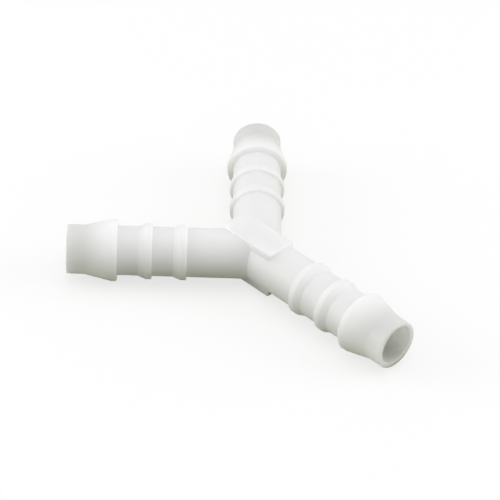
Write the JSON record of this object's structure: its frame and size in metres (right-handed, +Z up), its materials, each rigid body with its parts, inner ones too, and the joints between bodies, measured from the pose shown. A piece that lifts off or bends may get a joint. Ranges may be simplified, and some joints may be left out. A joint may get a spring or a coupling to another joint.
{
  "type": "tubing y connector",
  "caption": "White plastic Y connector for flexible tubing, moulded in one piece, with barbed hose tails around a flat-topped block and an open passage through every arm.",
  "frame": {"origin": "on the floor that the three large barbs rest on, at the centre of the plan box", "axes": "+Y along the stem's axis from its mouth to the junction, so that the branches spread evenly about +Y; +Z up, square to the plane of the three axes; +X to the right-hand branch"},
  "size_m": [0.061, 0.0688, 0.0125],
  "materials": {
    "white_plastic": "satin, as moulded, slightly translucent"
  },
  "bodies": {
    "root": {"connector_body": "white_plastic"}
  },
  "joints": []
}
